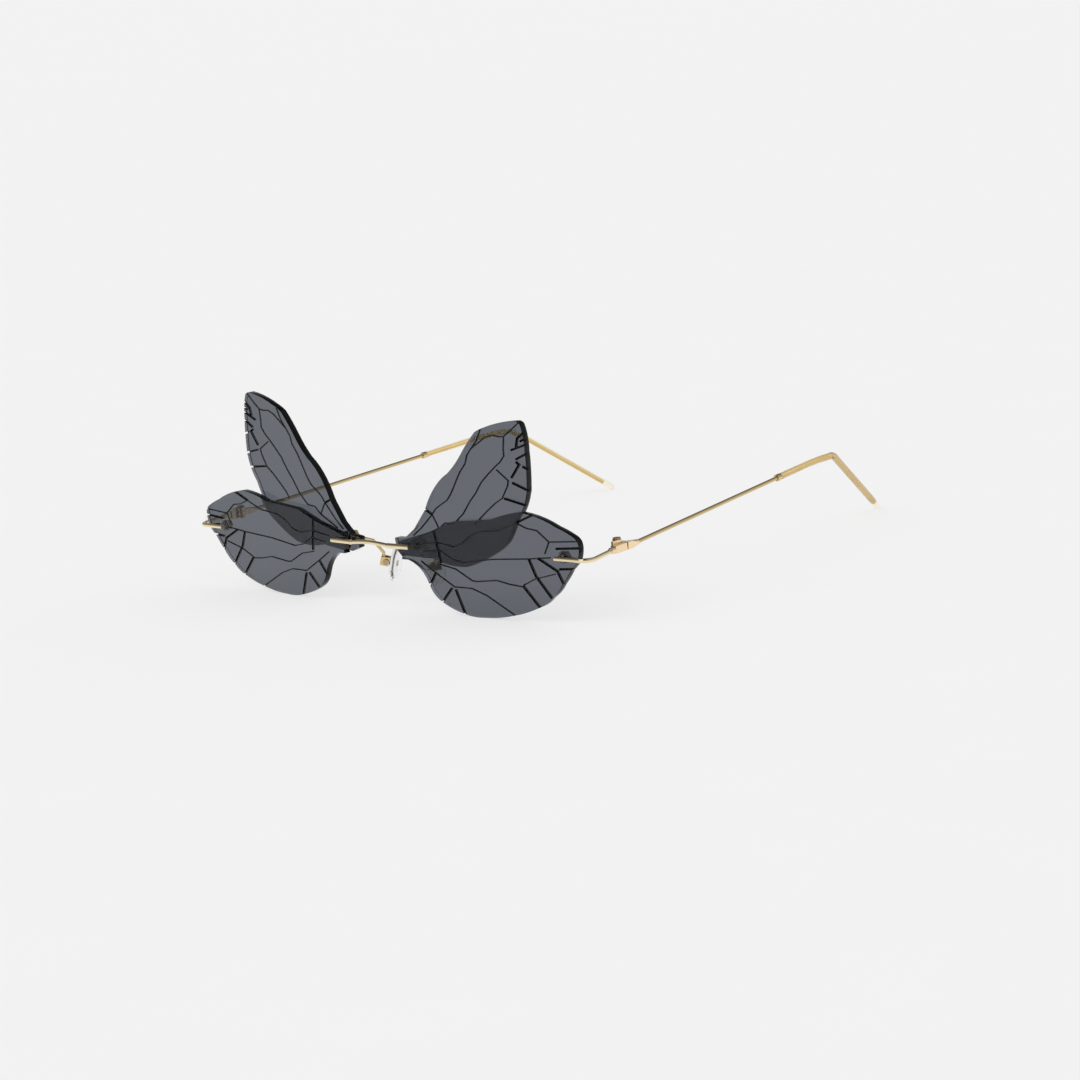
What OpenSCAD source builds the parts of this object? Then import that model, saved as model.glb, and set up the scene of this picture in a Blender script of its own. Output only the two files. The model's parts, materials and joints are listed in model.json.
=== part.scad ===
// Rimless sunglasses with four flat plates cut and engraved like insect wings.
// +X is the wearer's left, +Y runs back to the ears and +Z is up.
// The origin lies on the table, under the middle of the glasses' outer box.
// Everything is drawn for the wearer's left side and mirrored for the right.

/* [Wing plates] */
// Size of the wing outlines, 1 as drawn
wing_size = 1; // [0.8:0.01:1.25]
// Size of the upper wings against their drawn outline
upper_size = 0.985; // [0.9:0.005:1.1]
// Thickness of each plate
plate_t = 1.8; // [1.4:0.1:3]
// Air gap between the lower and the upper plate
plate_gap = 0.3; // [0.25:0.05:2]
// Angle by which each side of the front sweeps back
wrap_angle = 3; // [0:0.5:8]
// Turn of the left upper wing on its post, plus lifts its outer end
upper_turn_left = -3.65; // [-5:0.05:5]
// Turn of the right upper wing on its post, plus lifts its outer end
upper_turn_right = 3.65; // [-5:0.05:5]
// Depth of the engraved veins
vein_depth = 0.45; // [0.2:0.05:0.8]
// Width of the long veins
vein_w = 0.3; // [0.2:0.05:0.9]
// Width of the short veins that run out at the edge
edge_vein_w = 0.5; // [0.3:0.05:1.2]
// Depth of the short veins
edge_vein_depth = 0.8; // [0.3:0.05:1.1]

/* [Bridge] */
// Distance from the middle of the bridge to each root post
bridge_half = 13.2; // [12:0.1:17]
// Diameter of the bar where it lies on the plates
bar_d = 1.3; // [1:0.05:1.8]
// Diameter of the bar over the nose
bar_mid_d = 1.05; // [0.8:0.05:1.5]
// Length of the thick bar end on each side
bar_end_len = 7.4; // [5:0.1:10]
// How far the bar runs past the post
bar_overhang = 0.8; // [0.7:0.1:2]
// Rise of the bar in the middle
bar_rise = 0.4; // [0.1:0.05:1.5]
// Diameter of the root posts
post_d = 1.2; // [0.8:0.05:1.6]

/* [Fasteners] */
// Outer diameter of spacers and washers
ring_d = 3.0; // [2.6:0.1:4]
// Thickness of the clear washers
washer_t = 0.4; // [0.2:0.05:0.8]
// Width across flats of the nuts
nut_w = 2.4; // [2.2:0.1:3.2]
// Height of the nuts
nut_h = 1.2; // [0.8:0.1:2]
// Radial clearance of posts in plates, rings and nuts
post_clear = 0.05; // [0.02:0.01:0.15]
// Gap left between faces that are clamped together
seat = 0.02; // [0.01:0.01:0.05]

/* [Endpieces] */
// Diameter of the endpiece wire
end_d = 1.1; // [0.8:0.05:1.4]
// Diameter of the end post
end_post_d = 1.0; // [0.7:0.05:1.2]
// Length of the bar from the end post to the start of the bend
end_reach = 6.5; // [6.5:0.1:10]
// Radius of the bend round the plate's outer end
end_bend_r = 2.5; // [2.2:0.1:4]
// Length of the wire from the bend to the hinge block
end_run = 7.1; // [4:0.1:10]
// Height that the wire gains on the way to the hinge block
end_lift = 0.6; // [0:0.1:1.5]

/* [Hinges] */
// Width of the hinge blocks
block_w = 1.6; // [1.4:0.05:2.4]
// Height of the hinge blocks
block_h = 1.75; // [1.6:0.05:2.4]
// Length of the front block
block_len = 4.2; // [3.5:0.1:6]
// Length of the temple block, with its taper
temple_block_len = 4.5; // [4:0.1:7]
// Gap between the two blocks when the temple is open
block_gap = 0.4; // [0.2:0.05:0.8]
// Diameter of the knuckles
knuckle_d = 2.2; // [2:0.05:2.8]
// Height of each front knuckle
knuckle_h = 0.8; // [0.6:0.05:1.2]
// Height of the temple knuckle
mid_knuckle_h = 1.1; // [0.8:0.05:1.6]
// Diameter of the hinge screw
screw_d = 1.0; // [0.8:0.05:1.2]
// Diameter of the hinge screw's head
screw_head_d = 1.9; // [1.5:0.05:2.1]
// Height of the hinge screw's head
screw_head_h = 0.4; // [0.3:0.05:0.6]
// Radial running clearance of the temple knuckle on the screw
hinge_clear = 0.05; // [0.02:0.01:0.09]
// Clearance beside and round the knuckles
knuckle_clear = 0.06; // [0.04:0.01:0.12]

/* [Temples] */
// Angle by which the temples close in towards the ears
toe_angle = 4.5; // [0:0.5:8]
// Diameter of the temple wire
temple_d = 1.0; // [0.9:0.05:1.4]
// Length from the hinge axis to the ferrule
ferrule_at = 63.6; // [50:0.1:80]
// Length of the ferrule
ferrule_len = 1.45; // [1:0.05:3]
// Diameter of the ferrule
ferrule_d = 1.8; // [1.7:0.05:2.6]
// Straight length of the left sleeve before its bend
sleeve_run_left = 10.7; // [5:0.1:22]
// Straight length of the right sleeve before its bend
sleeve_run_right = 17.7; // [5:0.1:22]
// Length of the gentle bend before the tight one
easy_bend_len = 13; // [5:0.5:20]
// Angle of the gentle bend
easy_bend = 7; // [2:0.5:15]
// Radius of the tight bend
tight_bend_r = 5; // [4:0.5:15]
// Angle of the left temple's tight bend
tight_bend_left = 30; // [15:0.5:50]
// Angle of the right temple's tight bend
tight_bend_right = 37; // [15:0.5:50]
// Straight length of the left tip after the bends
tip_len_left = 39.7; // [25:0.1:50]
// Straight length of the right tip after the bends
tip_len_right = 34.4; // [25:0.1:50]
// Turn of the bend towards the head
tip_inward = 24; // [0:1:35]
// Diameter of the sleeve at the ferrule
sleeve_start_d = 1.6; // [1.5:0.05:2.4]
// Diameter of the sleeve from the bend to the tip
sleeve_d = 1.8; // [1.6:0.05:2.8]
// Length of solid sleeve beyond the end of the core
sleeve_solid = 3; // [1:0.5:6]
// Diameter of the core inside the sleeve
core_d = 0.9; // [0.7:0.05:1.2]
// Radial clearance of the core in the sleeve
core_clear = 0.03; // [0.02:0.01:0.08]

/* [Nose pads] */
// Distance from the middle to each pad's rocking axis
pad_x = 9; // [8:0.1:12]
// Distance of the rocking axis behind the plates' front
pad_y = 13.1; // [12:0.1:16]
// Depth of the rocking axis below the root post
pad_drop = 7.8; // [5:0.1:9]
// Turn of the pads about the upright axis
pad_turn = 30; // [10:1:45]
// Splay of the pads, tops closer together
pad_splay = 15; // [0:1:30]
// Height of a pad
pad_h = 9.5; // [8:0.5:12]
// Width of a pad
pad_w = 6; // [5:0.2:8]
// Thickness of a pad
pad_t = 1.9; // [1.4:0.1:2.8]
// Diameter of the pad arm wire
arm_d = 0.8; // [0.6:0.05:1.1]
// Diameter of the pad's cross screw
pad_screw_d = 0.9; // [0.7:0.05:1]
// Radial running clearance of the pad on its screw
pad_clear = 0.05; // [0.02:0.01:0.09]

/* [Hidden] */
$fn = 48;
gold = [0.83, 0.69, 0.40];
tint = [0.22, 0.23, 0.25, 0.75];
clear = [0.85, 0.87, 0.88, 0.5];

// Where the root post and the end post stand in the outline lists
drawn_post = [13.2, 16.1];
drawn_end_post = [61.2, 16.0];

// Outlines run clockwise from the root's top corner. Each point is [along, up, bulge]:
// the bulge is how far the edge to the next point swells outwards.
LOWER_OUTLINE = [
    [9.7, 17.2, 0], [20.5, 20.1, 0], [28, 22.9, 0], [40.5, 24, 0.35], [50.5, 26.2, 0.5],
    [61.2, 23.2, 0.1], [65.6, 21.4, 0.15], [67.1, 20.1, 0.15], [67.3, 18, 0.1], [66.6, 15.6, 0.1],
    [64.2, 13.3, 0.1], [61.3, 9.8, 0.3], [57.3, 6.1, 0.3], [53.1, 3.6, 0.2], [45.6, 1.3, 0.25], [36, 0.1, 0.3],
    [29.4, 0.6, 0.3], [22.4, 3.1, 0.5], [18.9, 7, -1.1], [12.6, 12.8, 0],
    [10.4, 12.8, 0], [10.7, 13.5, 0], [9.4, 14.8, 0]
];
UPPER_OUTLINE = [
    [6.8, 17.2, 0], [9.9, 17.4, 0], [13.3, 20.1, 0], [17, 24.9, 0], [17.6, 25.9, 0.4],
    [22.4, 32.9, 0.1], [25.5, 35.3, -0.2], [30.1, 40.3, 0.15],
    [35.1, 46.3, 0.1], [38.1, 47.7, 0.4], [48.3, 50.1, 0.1], [49.6, 49.5, 0.1],
    [50.5, 46.5, 0.1], [50.8, 43, 0.05], [51, 39.4, 0.05], [50.9, 34.3, 0.1],
    [50.6, 32.6, 0.1], [49.5, 29.5, 0.1],
    [47.6, 26.6, 0.1], [44.5, 20.8, 0.3], [39.6, 16.9, 0.3], [31, 12.8, 0.15], [25, 12.6, 0.1],
    [20, 13.6, 0.1], [9.5, 13.2, 0], [7, 14.4, 0], [6.5, 17, 0]
];

// Long veins of the lower wing, then its short ones that run out at the edge
LOWER_VEINS = [
    [[15.9, 16.8], [22.4, 17.7], [28, 16.9], [30.5, 17.6], [34, 20], [37.3, 21.1], [43, 21.6], [48.8, 23.7]],
    [[48.8, 23.7], [51.8, 22.6], [55, 22.2], [58.4, 19.7], [68.6, 20.4]],
    [[58.4, 19.7], [56.8, 16.8]],
    [[18, 15.2], [23.4, 15.8], [27, 13.9], [30.5, 13.2], [35, 13.8], [40, 14.5], [51.5, 15.3], [58.5, 16]],
    [[23, 12.3], [28, 11.4], [33, 8.9], [34.5, 8.8], [40.9, 9.5], [45, 8.8], [49, 8.5]],
    [[16.8, 12.7], [21.3, 10.1], [27, 7], [32.6, 7], [37.2, 5.6], [47.4, 0.5]],
    [[49.3, 8.9], [53, 10.6], [59.5, 12.2]]
];
LOWER_EDGE_VEINS = [
    [[48.8, 23.7], [55, 26.2]],
    [[51.6, 15.2], [53.3, 11.3], [58.6, 5.2]],
    [[54.5, 15.6], [58, 13.9], [60.1, 12.9], [62.2, 8.8]],
    [[60.8, 13.4], [66, 13.8]],
    [[60.3, 18.2], [68.6, 18.8]],
    [[62.6, 16.5], [68, 15.7]],
    [[49, 8.7], [54.6, 2.8]],
    [[21.3, 10.1], [17.9, 5.7]],
    [[27.2, 6.4], [30.1, -0.8]],
    [[26, 6.6], [21.5, 2]],
    [[21.9, 20.9], [22.4, 17.7], [22.9, 15.6], [23.4, 12.6]]
];

// Long veins of the upper wing, then its short ones
UPPER_VEINS = [
    [[49.9, 50.4], [46.4, 47.6], [44.3, 46.1], [42.8, 45.9], [40.6, 46.1], [38.3, 45.3], [33.6, 42.1]],
    [[37.4, 47.9], [35.4, 44.1], [33.6, 42.1], [32.2, 40.4], [31.5, 38.3], [29.6, 36], [28.5, 34.2]],
    [[28.5, 34.2], [27.2, 31.9], [26.1, 30.1], [24.8, 28.5], [22.5, 27.1], [20.9, 26], [19.6, 24.4]],
    [[19.6, 24.4], [15.7, 20.6], [12.9, 18.4]],
    [[19.6, 24.4], [21.1, 22.1], [21.6, 21.1], [15.2, 18.4]],
    [[21.6, 21.1], [23.8, 22.8], [26.8, 23]],
    [[44.3, 46.1], [44, 42.8], [44.1, 41.4], [42.7, 39.7], [41, 38.4], [38.5, 36.2], [36.4, 34.2]],
    [[36.4, 34.2], [34.3, 31.2], [32.4, 29.1], [30, 25.8], [26.8, 23]],
    [[41.5, 37.8], [45.1, 35.5], [44.8, 34.2], [42.9, 31]],
    [[42.9, 31], [40.4, 29.4], [37.7, 27.2], [35.4, 25.2], [34.2, 23.6]]
];
UPPER_EDGE_VEINS = [
    [[19.6, 24.4], [16.4, 25.9]],
    [[52.6, 49.1], [48.5, 46], [48, 43.9]],
    [[53.2, 47], [49.4, 45.4]],
    [[52.8, 45.6], [49.9, 44.3], [46.4, 43]],
    [[53.3, 43.7], [47.8, 40.9]],
    [[47.8, 40.3], [48.7, 39.7], [46.1, 36.3]],
    [[49.8, 39.4], [52.8, 38.3]],
    [[46.3, 35.1], [52.8, 33.3]],
    [[43.5, 31], [51.4, 29.9]]
];

// Overlap that joins two solids, how far cuts run past the faces that they open,
// and how much thicker than the wire its round joints are
lap = 0.1;
over = 1;
joint_extra = 0.02;

// Places that follow from the sizes above, in the front's own frame,
// whose Y = 0 is the middle of the lower plates' front plane
post = sized(drawn_post);
end_post = sized(drawn_end_post);
upper_n = plate_t + plate_gap;
stack_n = upper_n + plate_t;
arm_n = stack_n + seat + washer_t + seat;
arm_t = arm_d + 0.1;
nut_n = arm_n + arm_t + seat;
end_nut_n = plate_t + seat + washer_t + seat;
bar_n = -(bar_d / 2 + seat);
end_bar_n = -(end_d / 2 + seat);
post_inset = 0.2;
end_bar_start = 0.9;
bar_inner = post.x + bar_overhang - bar_end_len;
bar_joint = [
    bar_inner * cos(wrap_angle) - bar_n * sin(wrap_angle),
    bar_inner * sin(wrap_angle) + bar_n * cos(wrap_angle)
];
bar_arc_r = (bar_joint.x ^ 2 + bar_rise ^ 2) / (2 * bar_rise);

// The bend round the plate's end, and the point where it meets the run to the hinge
end_turn = 90 + toe_angle - wrap_angle;
bend_from = end_post.x + end_reach;
bend_to = [bend_from + end_bend_r * sin(end_turn), end_bar_n + end_bend_r * (1 - cos(end_turn))];
run_from = [
    bend_to.x * cos(wrap_angle) - bend_to.y * sin(wrap_angle),
    bend_to.x * sin(wrap_angle) + bend_to.y * cos(wrap_angle)
];

// Heights of the hinge, whose middle is the end of the lifted wire
hinge_z = end_post.y + end_lift;
knuckle_drop = 0.25;
knuckle_low = hinge_z - block_h / 2 - knuckle_drop;
mid_knuckle_low = knuckle_low + knuckle_h + knuckle_clear;
top_knuckle_low = mid_knuckle_low + mid_knuckle_h + knuckle_clear;
knuckle_top = top_knuckle_low + knuckle_h;

// The hinge axis in the temple's frame, whose Y runs along the temple from run_from
axis_side = 0.8;
axis_back = 0.7;
axis_x = -(block_w / 2 + axis_side);
axis_y = end_run + block_len - axis_back;
temple_block_y = end_run + block_len + block_gap;
temple_wire_y = temple_block_y + temple_block_len;

// The front block's leaf, and how deep the wires go into the blocks
leaf_t = 0.5;
leaf_x = -block_w / 2 - leaf_t + lap;
leaf_len = 2.7;
socket_depth = 1.5;

// The blocks' square length on the temple, and how much wider than the wire their narrow ends are
square_len = 1.6;
collar_extra = 0.3;
collar_len = 1.3;
slot_w = 0.3;
web_side = 0.5;

// The temple's path: lengths along it from the start of the wire, and its bends
core_lap = 0.5;
easy_bend_r = easy_bend_len * 180 / (PI * easy_bend);
straight_len = axis_y + ferrule_at - temple_wire_y;
sleeve_at = straight_len + ferrule_len;

// The outer box from front to back, which sets the origin
front_y = bar_joint.y - bar_d / 2 * cos(wrap_angle);
mid_y = (front_y + max(back_y(true), back_y(false))) / 2;

// The nose pads' rocking axis and what is built round it
pad_axis = [pad_x, pad_y, post.y - pad_drop];
lug_d = pad_screw_d + 0.9;
lug_w = 1.2;
lug_h = 1.4;
ear_t = 0.6;
ear_in = lug_w / 2 + pad_clear;
ear_out = ear_in + ear_t;
bracket_back = lug_d / 2 + 0.1;
bracket_front = -0.7;
bracket_h = 2.2;
plate_back_t = 0.5;
pad_back = bracket_front - 0.6;
pad_head_d = 1.5;
pad_head_h = 0.4;

// Where the pad arm leaves its eye, and its first turns as steps from there
eye_lap = 0.3;
arm_down = 0.4;
arm_turns = [[-1, 0.3, -0.3], [-1.3, 2.6, -0.7], [-1.5, 4.8, -1.6]];

// A drawn point of an outline or a vein at its place on a plate, whose own size is s
function sized(p, s = 1) = [
    bridge_half + (p.x - drawn_post.x) * wing_size * s,
    (drawn_post.y + (p.y - drawn_post.y) * s) * wing_size
];

// Where one side's bends start, the straight length after them, and its angles
function bend_at(left) = sleeve_at + (left ? sleeve_run_left : sleeve_run_right);
function tip_len(left) = left ? tip_len_left : tip_len_right;
function tight_bend(left) = left ? tight_bend_left : tight_bend_right;
function full_bend(left) = easy_bend + tight_bend(left);

// The middle of the tip's round end, along the straight and across it in the bend's plane
function tip_along(left) = bend_at(left) + easy_bend_r * sin(easy_bend)
    + tight_bend_r * (sin(full_bend(left)) - sin(easy_bend)) + tip_len(left) * cos(full_bend(left));
function tip_across(left) = easy_bend_r * (1 - cos(easy_bend))
    + tight_bend_r * (cos(easy_bend) - cos(full_bend(left))) + tip_len(left) * sin(full_bend(left));
function tip_down(left) = tip_across(left) * cos(tip_inward);

// The temple's climb that lets its tip rest on the table with the plates upright
function rise_angle(left) =
    asin((sleeve_d / 2 - hinge_z) / norm([tip_along(left), tip_down(left)]))
    + atan2(tip_down(left), tip_along(left));

// How far back one side's tip reaches
function back_y(left) =
    let(
        y = temple_wire_y + tip_along(left) * cos(rise_angle(left)) + tip_down(left) * sin(rise_angle(left)),
        x = -tip_across(left) * sin(tip_inward)
    )
    run_from.y + y * cos(toe_angle) + x * sin(toe_angle) + sleeve_d / 2;

// A point of the left pad's frame, in the front's frame
function pad_point(p) =
    let(
        x = p.x * cos(pad_splay) - p.z * sin(pad_splay),
        z = p.x * sin(pad_splay) + p.z * cos(pad_splay)
    )
    pad_axis + [x * cos(pad_turn) + p.y * sin(pad_turn), p.y * cos(pad_turn) - x * sin(pad_turn), z];

// Height of the endpiece wire, past the front of the hinge block
function wire_z(past) = hinge_z + past * end_lift / end_run;

// Points along the edge from p to q with bulge s, without q
function edge(p, q, s) =
    let(n = s == 0 ? 1 : 5, d = q - p, out = [-d.y, d.x] / norm(d))
    [for (i = [0:n - 1]) let(t = i / n) p + d * t + out * s * 4 * t * (1 - t)];

// A closed outline from a list of [along, up, bulge]
function outline(list, s) = [
    for (i = [0:len(list) - 1])
        let(a = list[i], b = list[(i + 1) % len(list)])
        for (p = edge([a.x, a.y], [b.x, b.y], a.z)) sized(p, s)
];

// Unit direction from a to b
function way(a, b) = (b - a) / norm(b - a);

// The offset of a stroke's left side at point i of its path
function side(path, i, w) =
    let(
        last = len(path) - 1,
        a = i == 0 ? way(path[0], path[1]) : way(path[i - 1], path[i]),
        b = i == last ? a : way(path[i], path[i + 1]),
        m = way([0, 0], a + b)
    )
    [-m.y, m.x] * w / 2 / (m * a);

// A stroke of width w along a drawn path
function stroke(drawn, w, s) =
    let(path = [for (p = drawn) sized(p, s)])
    concat(
        [for (i = [0:len(path) - 1]) path[i] + side(path, i, w)],
        [for (i = [len(path) - 1:-1:0]) path[i] - side(path, i, w)]
    );

// Puts the front's frame on the table frame
module placed() translate([0, -mid_y, 0]) children();

// Draws on the wearer's left, or mirrored on the right
module on_side(left) {
    if (left) placed() children();
    else mirror([1, 0, 0]) placed() children();
}

// Draws once on each side
module both_sides() for (left = [true, false]) on_side(left) children();

// A plate's frame: X along the plate, Y through it to the back, Z up
module plate_frame() rotate([0, 0, wrap_angle]) children();

// In a plate's frame, stands on a post at depth n and looks back along it
module on_post(at, n) translate([at.x, n, at.y]) rotate([-90, 0, 0]) children();

// The frame of the temple line: Y along the temple from the end of the bend
module temple_frame() translate([run_from.x, run_from.y, 0]) rotate([0, 0, toe_angle]) children();

// The frame of the hinge axis
module hinge_axis(z) temple_frame() translate([axis_x, axis_y, z]) children();

// The temple wire's own plane: X along it from the block, Y towards its bend
module wire_plane(left) {
    temple_frame()
        translate([0, temple_wire_y, hinge_z])
            rotate([rise_angle(left), 0, 0])
                rotate([0, tip_inward, 0])
                    rotate([-90, 0, 90])
                        children();
}

// The left pad's frame: X away from the nose, Y along the cross screw, Z up
module pad_frame() translate(pad_axis) rotate([0, -pad_splay, -pad_turn]) children();

// A cylinder along X
module along_x(from, d, h) translate([from, 0, 0]) rotate([0, 90, 0]) cylinder(d = d, h = h);

// A cylinder along Y, centred
module across_y(d, h) rotate([90, 0, 0]) cylinder(d = d, h = h, center = true);

// A block between two corners
module block(low, high) translate(low) cube(high - low);

// A round rod between two points
module rod(a, b, d) {
    v = b - a;
    translate(a) rotate([0, acos(v.z / norm(v)), atan2(v.y, v.x)]) cylinder(d = d, h = norm(v));
}

// A wire bent through the points of a list, with a round joint where each stretch starts
module bent_wire(points, d) {
    for (i = [0:len(points) - 2]) {
        v = points[i + 1] - points[i];
        translate(points[i]) rotate([0, acos(v.z / norm(v)), atan2(v.y, v.x)]) sphere(d = d + joint_extra);
        rod(points[i], points[i + 1], d);
    }
}

// A round joint in a wire that runs along X
module joint(d) rotate([0, 90, 0]) sphere(d = d + joint_extra);

// An arc of round wire from the origin along X that bends towards Y.
// What is given as its children goes on from its end.
module bend(r, angle, d) {
    translate([0, r, 0])
        rotate([0, 0, -90])
            rotate_extrude(angle = angle, $fn = 96)
                translate([r, 0])
                    circle(d = d);
    translate([r * sin(angle), r * (1 - cos(angle)), 0]) rotate([0, 0, angle]) children();
}

// A flat plate of size s with engraved veins on its front
module plate(shape, veins, edge_veins, s) {
    difference() {
        translate([0, plate_t, 0]) rotate([90, 0, 0]) linear_extrude(plate_t) polygon(outline(shape, s));
        translate([0, vein_depth, 0]) rotate([90, 0, 0]) linear_extrude(vein_depth + over)
            for (v = veins) polygon(stroke(v, vein_w, s));
        translate([0, edge_vein_depth, 0]) rotate([90, 0, 0]) linear_extrude(edge_vein_depth + over)
            for (v = edge_veins) polygon(stroke(v, edge_vein_w, s));
        post_hole(post, post_d);
    }
}

// A hole for a post through a plate
module post_hole(at, d) on_post(at, -over) cylinder(d = d + 2 * post_clear, h = plate_t + 2 * over);

// A clear ring on a post
module ring(at, n, t, d) {
    on_post(at, n) difference() {
        cylinder(d = ring_d, h = t);
        translate([0, 0, -over]) cylinder(d = d + 2 * post_clear, h = t + 2 * over);
    }
}

// A six-sided nut on a post
module nut(at, n, d) {
    on_post(at, n) difference() {
        cylinder(d = nut_w / cos(30), h = nut_h, $fn = 6);
        translate([0, 0, -over]) cylinder(d = d + 2 * post_clear, h = nut_h + 2 * over);
    }
}

module lower_wing(left) {
    color(tint) on_side(left) plate_frame() difference() {
        plate(LOWER_OUTLINE, LOWER_VEINS, LOWER_EDGE_VEINS, 1);
        post_hole(end_post, end_post_d);
    }
}

module upper_wing(left) {
    turn = left ? upper_turn_left : upper_turn_right;
    color(tint) on_side(left) plate_frame()
        translate([post.x, upper_n, post.y])
            rotate([0, -turn, 0])
                translate([-post.x, 0, -post.y])
                    plate(UPPER_OUTLINE, UPPER_VEINS, UPPER_EDGE_VEINS, upper_size);
}

module bridge_wire() {
    half_angle = asin((bar_joint.x + bar_d / 2) / bar_arc_r);
    color(gold) {
        both_sides() plate_frame() {
            translate([0, bar_n, post.y]) along_x(bar_inner, bar_d, bar_end_len);
            on_post(post, bar_n) cylinder(d = post_d, h = nut_n + nut_h - bar_n - post_inset);
        }
        placed() translate([0, bar_joint.y, post.y + bar_rise - bar_arc_r])
            rotate([90, 0, 0])
                rotate([0, 0, 90 - half_angle])
                    rotate_extrude(angle = 2 * half_angle, $fn = 96)
                        translate([bar_arc_r, 0])
                            circle(d = bar_mid_d);
    }
}

module plate_spacers() {
    color(clear) both_sides() plate_frame() ring(post, plate_t + seat, plate_gap - 2 * seat, post_d);
}

module bridge_washers() {
    color(clear) both_sides() plate_frame() ring(post, stack_n + seat, washer_t, post_d);
}

module bridge_nuts() {
    color(gold) both_sides() plate_frame() nut(post, nut_n, post_d);
}

module endpiece_wire(left) {
    color(gold) on_side(left) {
        plate_frame() {
            translate([0, end_bar_n, end_post.y]) {
                along_x(end_post.x - end_bar_start, end_d, bend_from - end_post.x + end_bar_start);
                translate([bend_from, 0, 0]) {
                    joint(end_d);
                    bend(end_bend_r, end_turn, end_d);
                }
            }
            on_post(end_post, end_bar_n)
                cylinder(d = end_post_d, h = end_nut_n + nut_h - end_bar_n - post_inset);
        }
        end_run_rod(end_d);
    }
}

// The straight run of the endpiece wire, with the end that goes into the hinge block
module end_run_rod(d) {
    temple_frame()
        bent_wire([[0, 0, end_post.y], [0, end_run + socket_depth, wire_z(socket_depth)]], d);
}

module endpiece_washers() {
    color(clear) both_sides() plate_frame() ring(end_post, plate_t + seat, washer_t, end_post_d);
}

module endpiece_nuts() {
    color(gold) both_sides() plate_frame() nut(end_post, end_nut_n, end_post_d);
}

module hinge_front(left) {
    color(gold) on_side(left) difference() {
        union() {
            temple_frame() {
                block(
                    [-block_w / 2, end_run, hinge_z - block_h / 2],
                    [block_w / 2, end_run + block_len, hinge_z + block_h / 2]
                );
                translate([0, end_run + lap, hinge_z])
                    rotate([90, 0, 0])
                        cylinder(d1 = block_w - seat, d2 = end_d + collar_extra, h = collar_len);
                block([leaf_x, axis_y - leaf_len, knuckle_low], [leaf_x + leaf_t, axis_y, knuckle_top]);
            }
            hinge_axis(knuckle_low) cylinder(d = knuckle_d, h = knuckle_h);
            hinge_axis(top_knuckle_low) cylinder(d = knuckle_d, h = knuckle_h);
        }
        hinge_axis(mid_knuckle_low - knuckle_clear)
            cylinder(d = knuckle_d + 4 * knuckle_clear, h = mid_knuckle_h + 2 * knuckle_clear);
        hinge_axis(knuckle_low - over)
            cylinder(d = screw_d + 2 * seat, h = knuckle_top - knuckle_low + 2 * over);
        end_run_rod(end_d + 2 * seat);
    }
}

module hinge_screw(left) {
    color(gold) on_side(left) {
        hinge_axis(knuckle_low) cylinder(d = screw_d, h = knuckle_top - knuckle_low + seat);
        hinge_axis(knuckle_top + seat) difference() {
            cylinder(d = screw_head_d, h = screw_head_h);
            translate([-screw_head_d, -slot_w / 2, screw_head_h / 2])
                cube([2 * screw_head_d, slot_w, screw_head_h]);
        }
    }
}

module hinge_temple(left) {
    color(gold) on_side(left) difference() {
        union() {
            temple_frame() {
                block(
                    [-block_w / 2, temple_block_y, hinge_z - block_h / 2],
                    [block_w / 2, temple_block_y + square_len, hinge_z + block_h / 2]
                );
                hull() {
                    block(
                        [-block_w / 2, temple_block_y + square_len - lap, hinge_z - block_h / 2],
                        [block_w / 2, temple_block_y + square_len, hinge_z + block_h / 2]
                    );
                    translate([0, temple_wire_y, hinge_z])
                        rotate([90, 0, 0])
                            cylinder(d = temple_d + collar_extra, h = lap, $fn = 32);
                }
                block(
                    [axis_x - web_side, axis_y, mid_knuckle_low],
                    [-block_w / 2 - lap, temple_block_y + square_len, mid_knuckle_low + mid_knuckle_h]
                );
                block(
                    [-block_w / 2 - 2 * lap, temple_block_y, mid_knuckle_low],
                    [-block_w / 2 + lap, temple_block_y + square_len, mid_knuckle_low + mid_knuckle_h]
                );
            }
            hinge_axis(mid_knuckle_low) cylinder(d = knuckle_d, h = mid_knuckle_h);
        }
        hinge_axis(mid_knuckle_low - over)
            cylinder(d = screw_d + 2 * hinge_clear, h = mid_knuckle_h + 2 * over);
        wire_plane(left) along_x(-socket_depth, temple_d + 2 * seat, socket_depth + over);
    }
}

module temple_wire(left) {
    color(gold) on_side(left) wire_plane(left) {
        along_x(-socket_depth + seat, temple_d, sleeve_at + socket_depth - seat);
        along_x(sleeve_at - core_lap, core_d, bend_at(left) - sleeve_at + core_lap);
        tip_path(left, core_d) along_x(0, core_d, tip_len(left) - sleeve_solid);
    }
}

// The two bends from the end of the straight sleeve; its children go on along the tip
module tip_path(left, d) {
    translate([bend_at(left), 0, 0]) {
        joint(d);
        bend(easy_bend_r, easy_bend, d) {
            joint(d);
            bend(tight_bend_r, tight_bend(left), d) {
                joint(d);
                children();
            }
        }
    }
}

module ferrule(left) {
    color(gold) on_side(left) wire_plane(left) difference() {
        along_x(straight_len, ferrule_d, ferrule_len);
        along_x(straight_len - over, temple_d + 2 * seat, ferrule_len + 2 * over);
    }
}

module temple_tip(left) {
    hole_d = core_d + 2 * core_clear;
    run = bend_at(left) - sleeve_at;
    color(clear) on_side(left) wire_plane(left) difference() {
        union() {
            translate([sleeve_at + seat, 0, 0])
                rotate([0, 90, 0])
                    cylinder(d1 = sleeve_start_d, d2 = sleeve_d, h = run - seat);
            tip_path(left, sleeve_d) rotate([0, 90, 0]) rotate_extrude() {
                square([sleeve_d / 2, tip_len(left)]);
                translate([0, tip_len(left)]) intersection() {
                    circle(d = sleeve_d);
                    square(sleeve_d);
                }
            }
        }
        along_x(sleeve_at - over, hole_d, run + over);
        tip_path(left, hole_d) along_x(0, hole_d, tip_len(left) - sleeve_solid + core_clear);
    }
}

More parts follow.
